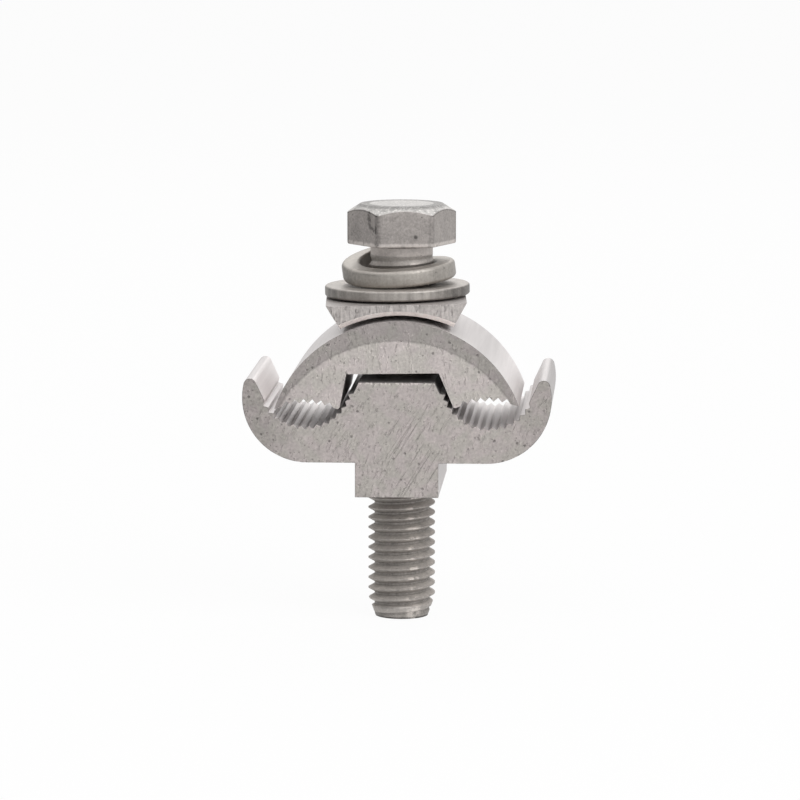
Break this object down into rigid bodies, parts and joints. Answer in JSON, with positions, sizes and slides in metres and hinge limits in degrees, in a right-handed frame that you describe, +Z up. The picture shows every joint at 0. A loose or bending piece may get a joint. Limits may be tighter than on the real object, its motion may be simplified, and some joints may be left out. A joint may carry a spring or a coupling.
{
  "type": "parallel groove clamp",
  "caption": "Bolted clamp with two serrated aluminium jaws that grip two parallel conductors side by side in its channels.",
  "frame": {"origin": "on the bolt axis, at the flat underside of the lower jaw's boss", "axes": "+Z up along the bolt towards its head, +Y along the conductors, +X across the two channels"},
  "size_m": [0.0448, 0.026, 0.0612],
  "materials": {
    "extruded_aluminium": "extruded, ends sawn and lightly scratched",
    "washer_steel": "dull plated steel",
    "bolt_steel": "dull plated steel with small pits"
  },
  "bodies": {
    "base": {"lower_jaw": "extruded_aluminium"},
    "jaw_stack": {"upper_jaw": "extruded_aluminium", "saddle": "extruded_aluminium", "flat_washer": "washer_steel", "spring_washer": "washer_steel"},
    "screw": {"bolt": "bolt_steel"}
  },
  "joints": [
    {"name": "jaw_lift", "type": "slide", "parent": "base", "child": "jaw_stack", "axis": [0, 0, 1], "range_m": [0, 0.0195]},
    {"name": "bolt_turn", "type": "hinge", "parent": "jaw_stack", "child": "screw", "pos_m": [0, 0, 0], "axis": [0, 0, 1], "range_deg": [0, 4700]}
  ],
  "couplings": [
    {"joint": "bolt_turn", "follows": "jaw_lift", "rad_per_m": 4188.8}
  ]
}
